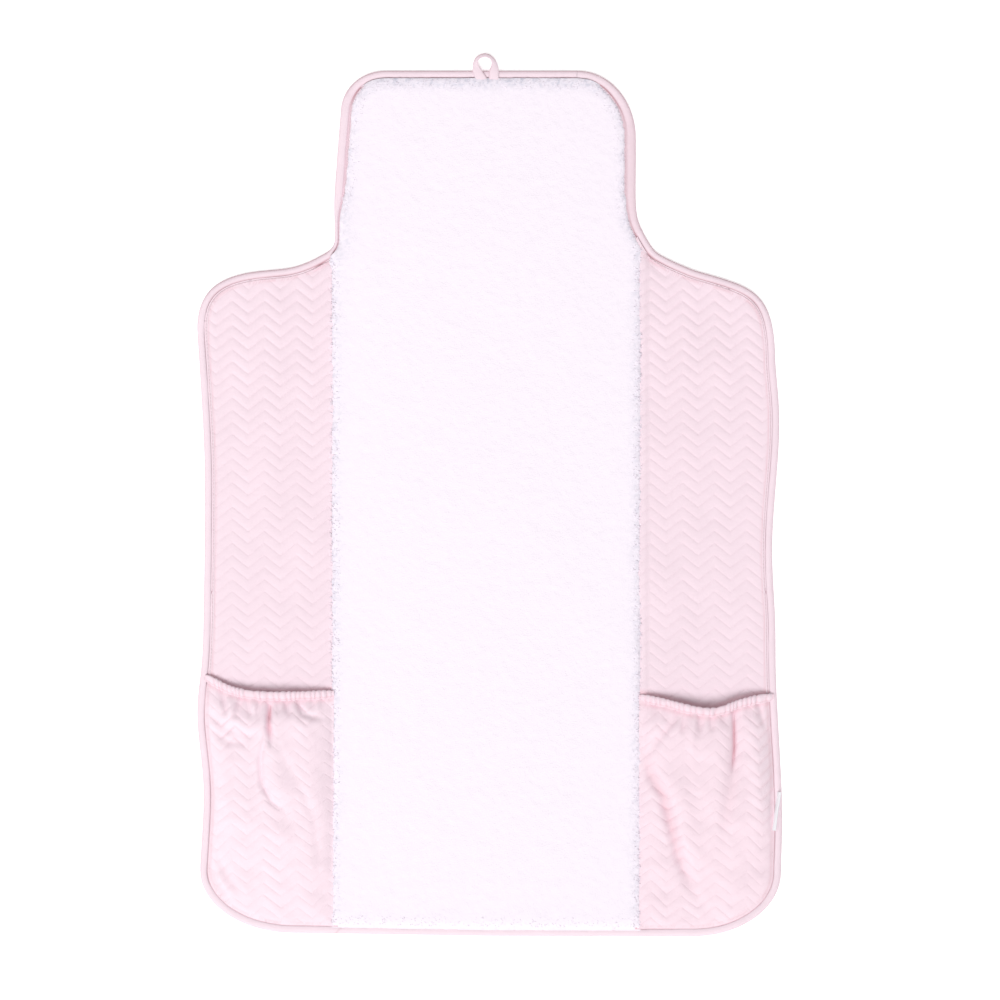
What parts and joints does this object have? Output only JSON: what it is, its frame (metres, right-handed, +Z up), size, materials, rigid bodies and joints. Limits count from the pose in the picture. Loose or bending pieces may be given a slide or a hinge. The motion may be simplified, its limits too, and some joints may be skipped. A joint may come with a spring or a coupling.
{
  "type": "changing pad",
  "caption": "Fold-up changing pad with a terry towel top, quilted side wings with a gathered pocket each, a bound edge and a closing loop.",
  "frame": {"origin": "under the middle of the box round the open pad and its loop, on the surface that the pad lies on", "axes": "+Z up, +Y from the foot edge to the head flap and its loop, +X to the right when seen from above with the head flap at the top"},
  "size_m": [0.5, 0.759, 0.0187],
  "materials": {
    "terry": "looped cotton pile",
    "quilted_jersey": "soft jersey quilted in zigzags",
    "pocket_jersey": "soft jersey quilted in zigzags",
    "back_jersey": "soft jersey quilted in zigzags",
    "binding_tape": "smooth folded jersey tape",
    "wadding": "soft fibre",
    "waterproof_film": "thin film",
    "braided_elastic": "matte",
    "button": "satin",
    "thread": "matte",
    "label": "woven satin tape, blank"
  },
  "bodies": {
    "torso": {"torso_back_cover": "back_jersey", "torso_waterproof_liner": "waterproof_film", "torso_wadding": "wadding", "torso_towel": "terry", "neck_binding": "binding_tape"},
    "head": {"head_back_cover": "back_jersey", "head_waterproof_liner": "waterproof_film", "head_wadding": "wadding", "head_towel": "terry", "head_binding": "binding_tape", "loop_ends": "binding_tape"},
    "loop": {"closing_loop": "binding_tape"},
    "foot": {"foot_back_cover": "back_jersey", "foot_waterproof_liner": "waterproof_film", "foot_wadding": "wadding", "foot_towel": "terry", "foot_binding": "binding_tape", "closing_button": "button", "button_thread": "thread"},
    "left_wing": {"left_wing_back_cover": "back_jersey", "left_wing_wadding": "wadding", "left_wing_front_cover": "quilted_jersey", "left_wing_binding": "binding_tape"},
    "right_wing": {"right_wing_back_cover": "back_jersey", "right_wing_wadding": "wadding", "right_wing_front_cover": "quilted_jersey", "right_wing_binding": "binding_tape"},
    "left_pocket": {"left_pocket_back_cover": "back_jersey", "left_pocket_wadding": "wadding", "left_pocket_lining": "quilted_jersey", "left_pocket_binding": "binding_tape", "left_pocket_panel": "pocket_jersey", "left_pocket_hem": "pocket_jersey", "left_pocket_elastic": "braided_elastic"},
    "right_pocket": {"right_pocket_back_cover": "back_jersey", "right_pocket_wadding": "wadding", "right_pocket_lining": "quilted_jersey", "right_pocket_binding": "binding_tape", "right_pocket_panel": "pocket_jersey", "right_pocket_hem": "pocket_jersey", "right_pocket_elastic": "braided_elastic", "woven_label": "label"}
  },
  "joints": [
    {"name": "left_wing_fold", "type": "hinge", "parent": "torso", "child": "left_wing", "pos_m": [-0.133, 0.0745, 0.008], "axis": [0, 1, 0], "range_deg": [0, 179.8]},
    {"name": "right_wing_fold", "type": "hinge", "parent": "torso", "child": "right_wing", "pos_m": [0.133, 0.0745, 0.008], "axis": [0, -1, 0], "range_deg": [0, 179.8]},
    {"name": "foot_fold", "type": "hinge", "parent": "torso", "child": "foot", "pos_m": [0, -0.0835, 0.0167], "axis": [-1, 0, 0], "range_deg": [0, 179.8]},
    {"name": "head_fold", "type": "hinge", "parent": "torso", "child": "head", "pos_m": [0, 0.2405, 0.0212], "axis": [1, 0, 0], "range_deg": [0, 179.8]},
    {"name": "loop_bend", "type": "hinge", "parent": "head", "child": "loop", "pos_m": [0, 0.3641, 0.0033], "axis": [1, 0, 0], "range_deg": [-90, 0]},
    {"name": "left_pocket_fold", "type": "hinge", "parent": "foot", "child": "left_pocket", "pos_m": [-0.133, -0.2315, 0.008], "axis": [0, 1, 0], "range_deg": [0, 179.8], "deforming": ["left_pocket_panel", "left_pocket_hem", "left_pocket_elastic"]},
    {"name": "right_pocket_fold", "type": "hinge", "parent": "foot", "child": "right_pocket", "pos_m": [0.133, -0.2315, 0.008], "axis": [0, -1, 0], "range_deg": [0, 179.8], "deforming": ["right_pocket_panel", "right_pocket_hem", "right_pocket_elastic", "woven_label"]}
  ],
  "couplings": [
    {"joint": "left_pocket_fold", "follows": "left_wing_fold", "ratio": 1},
    {"joint": "right_pocket_fold", "follows": "right_wing_fold", "ratio": 1}
  ]
}
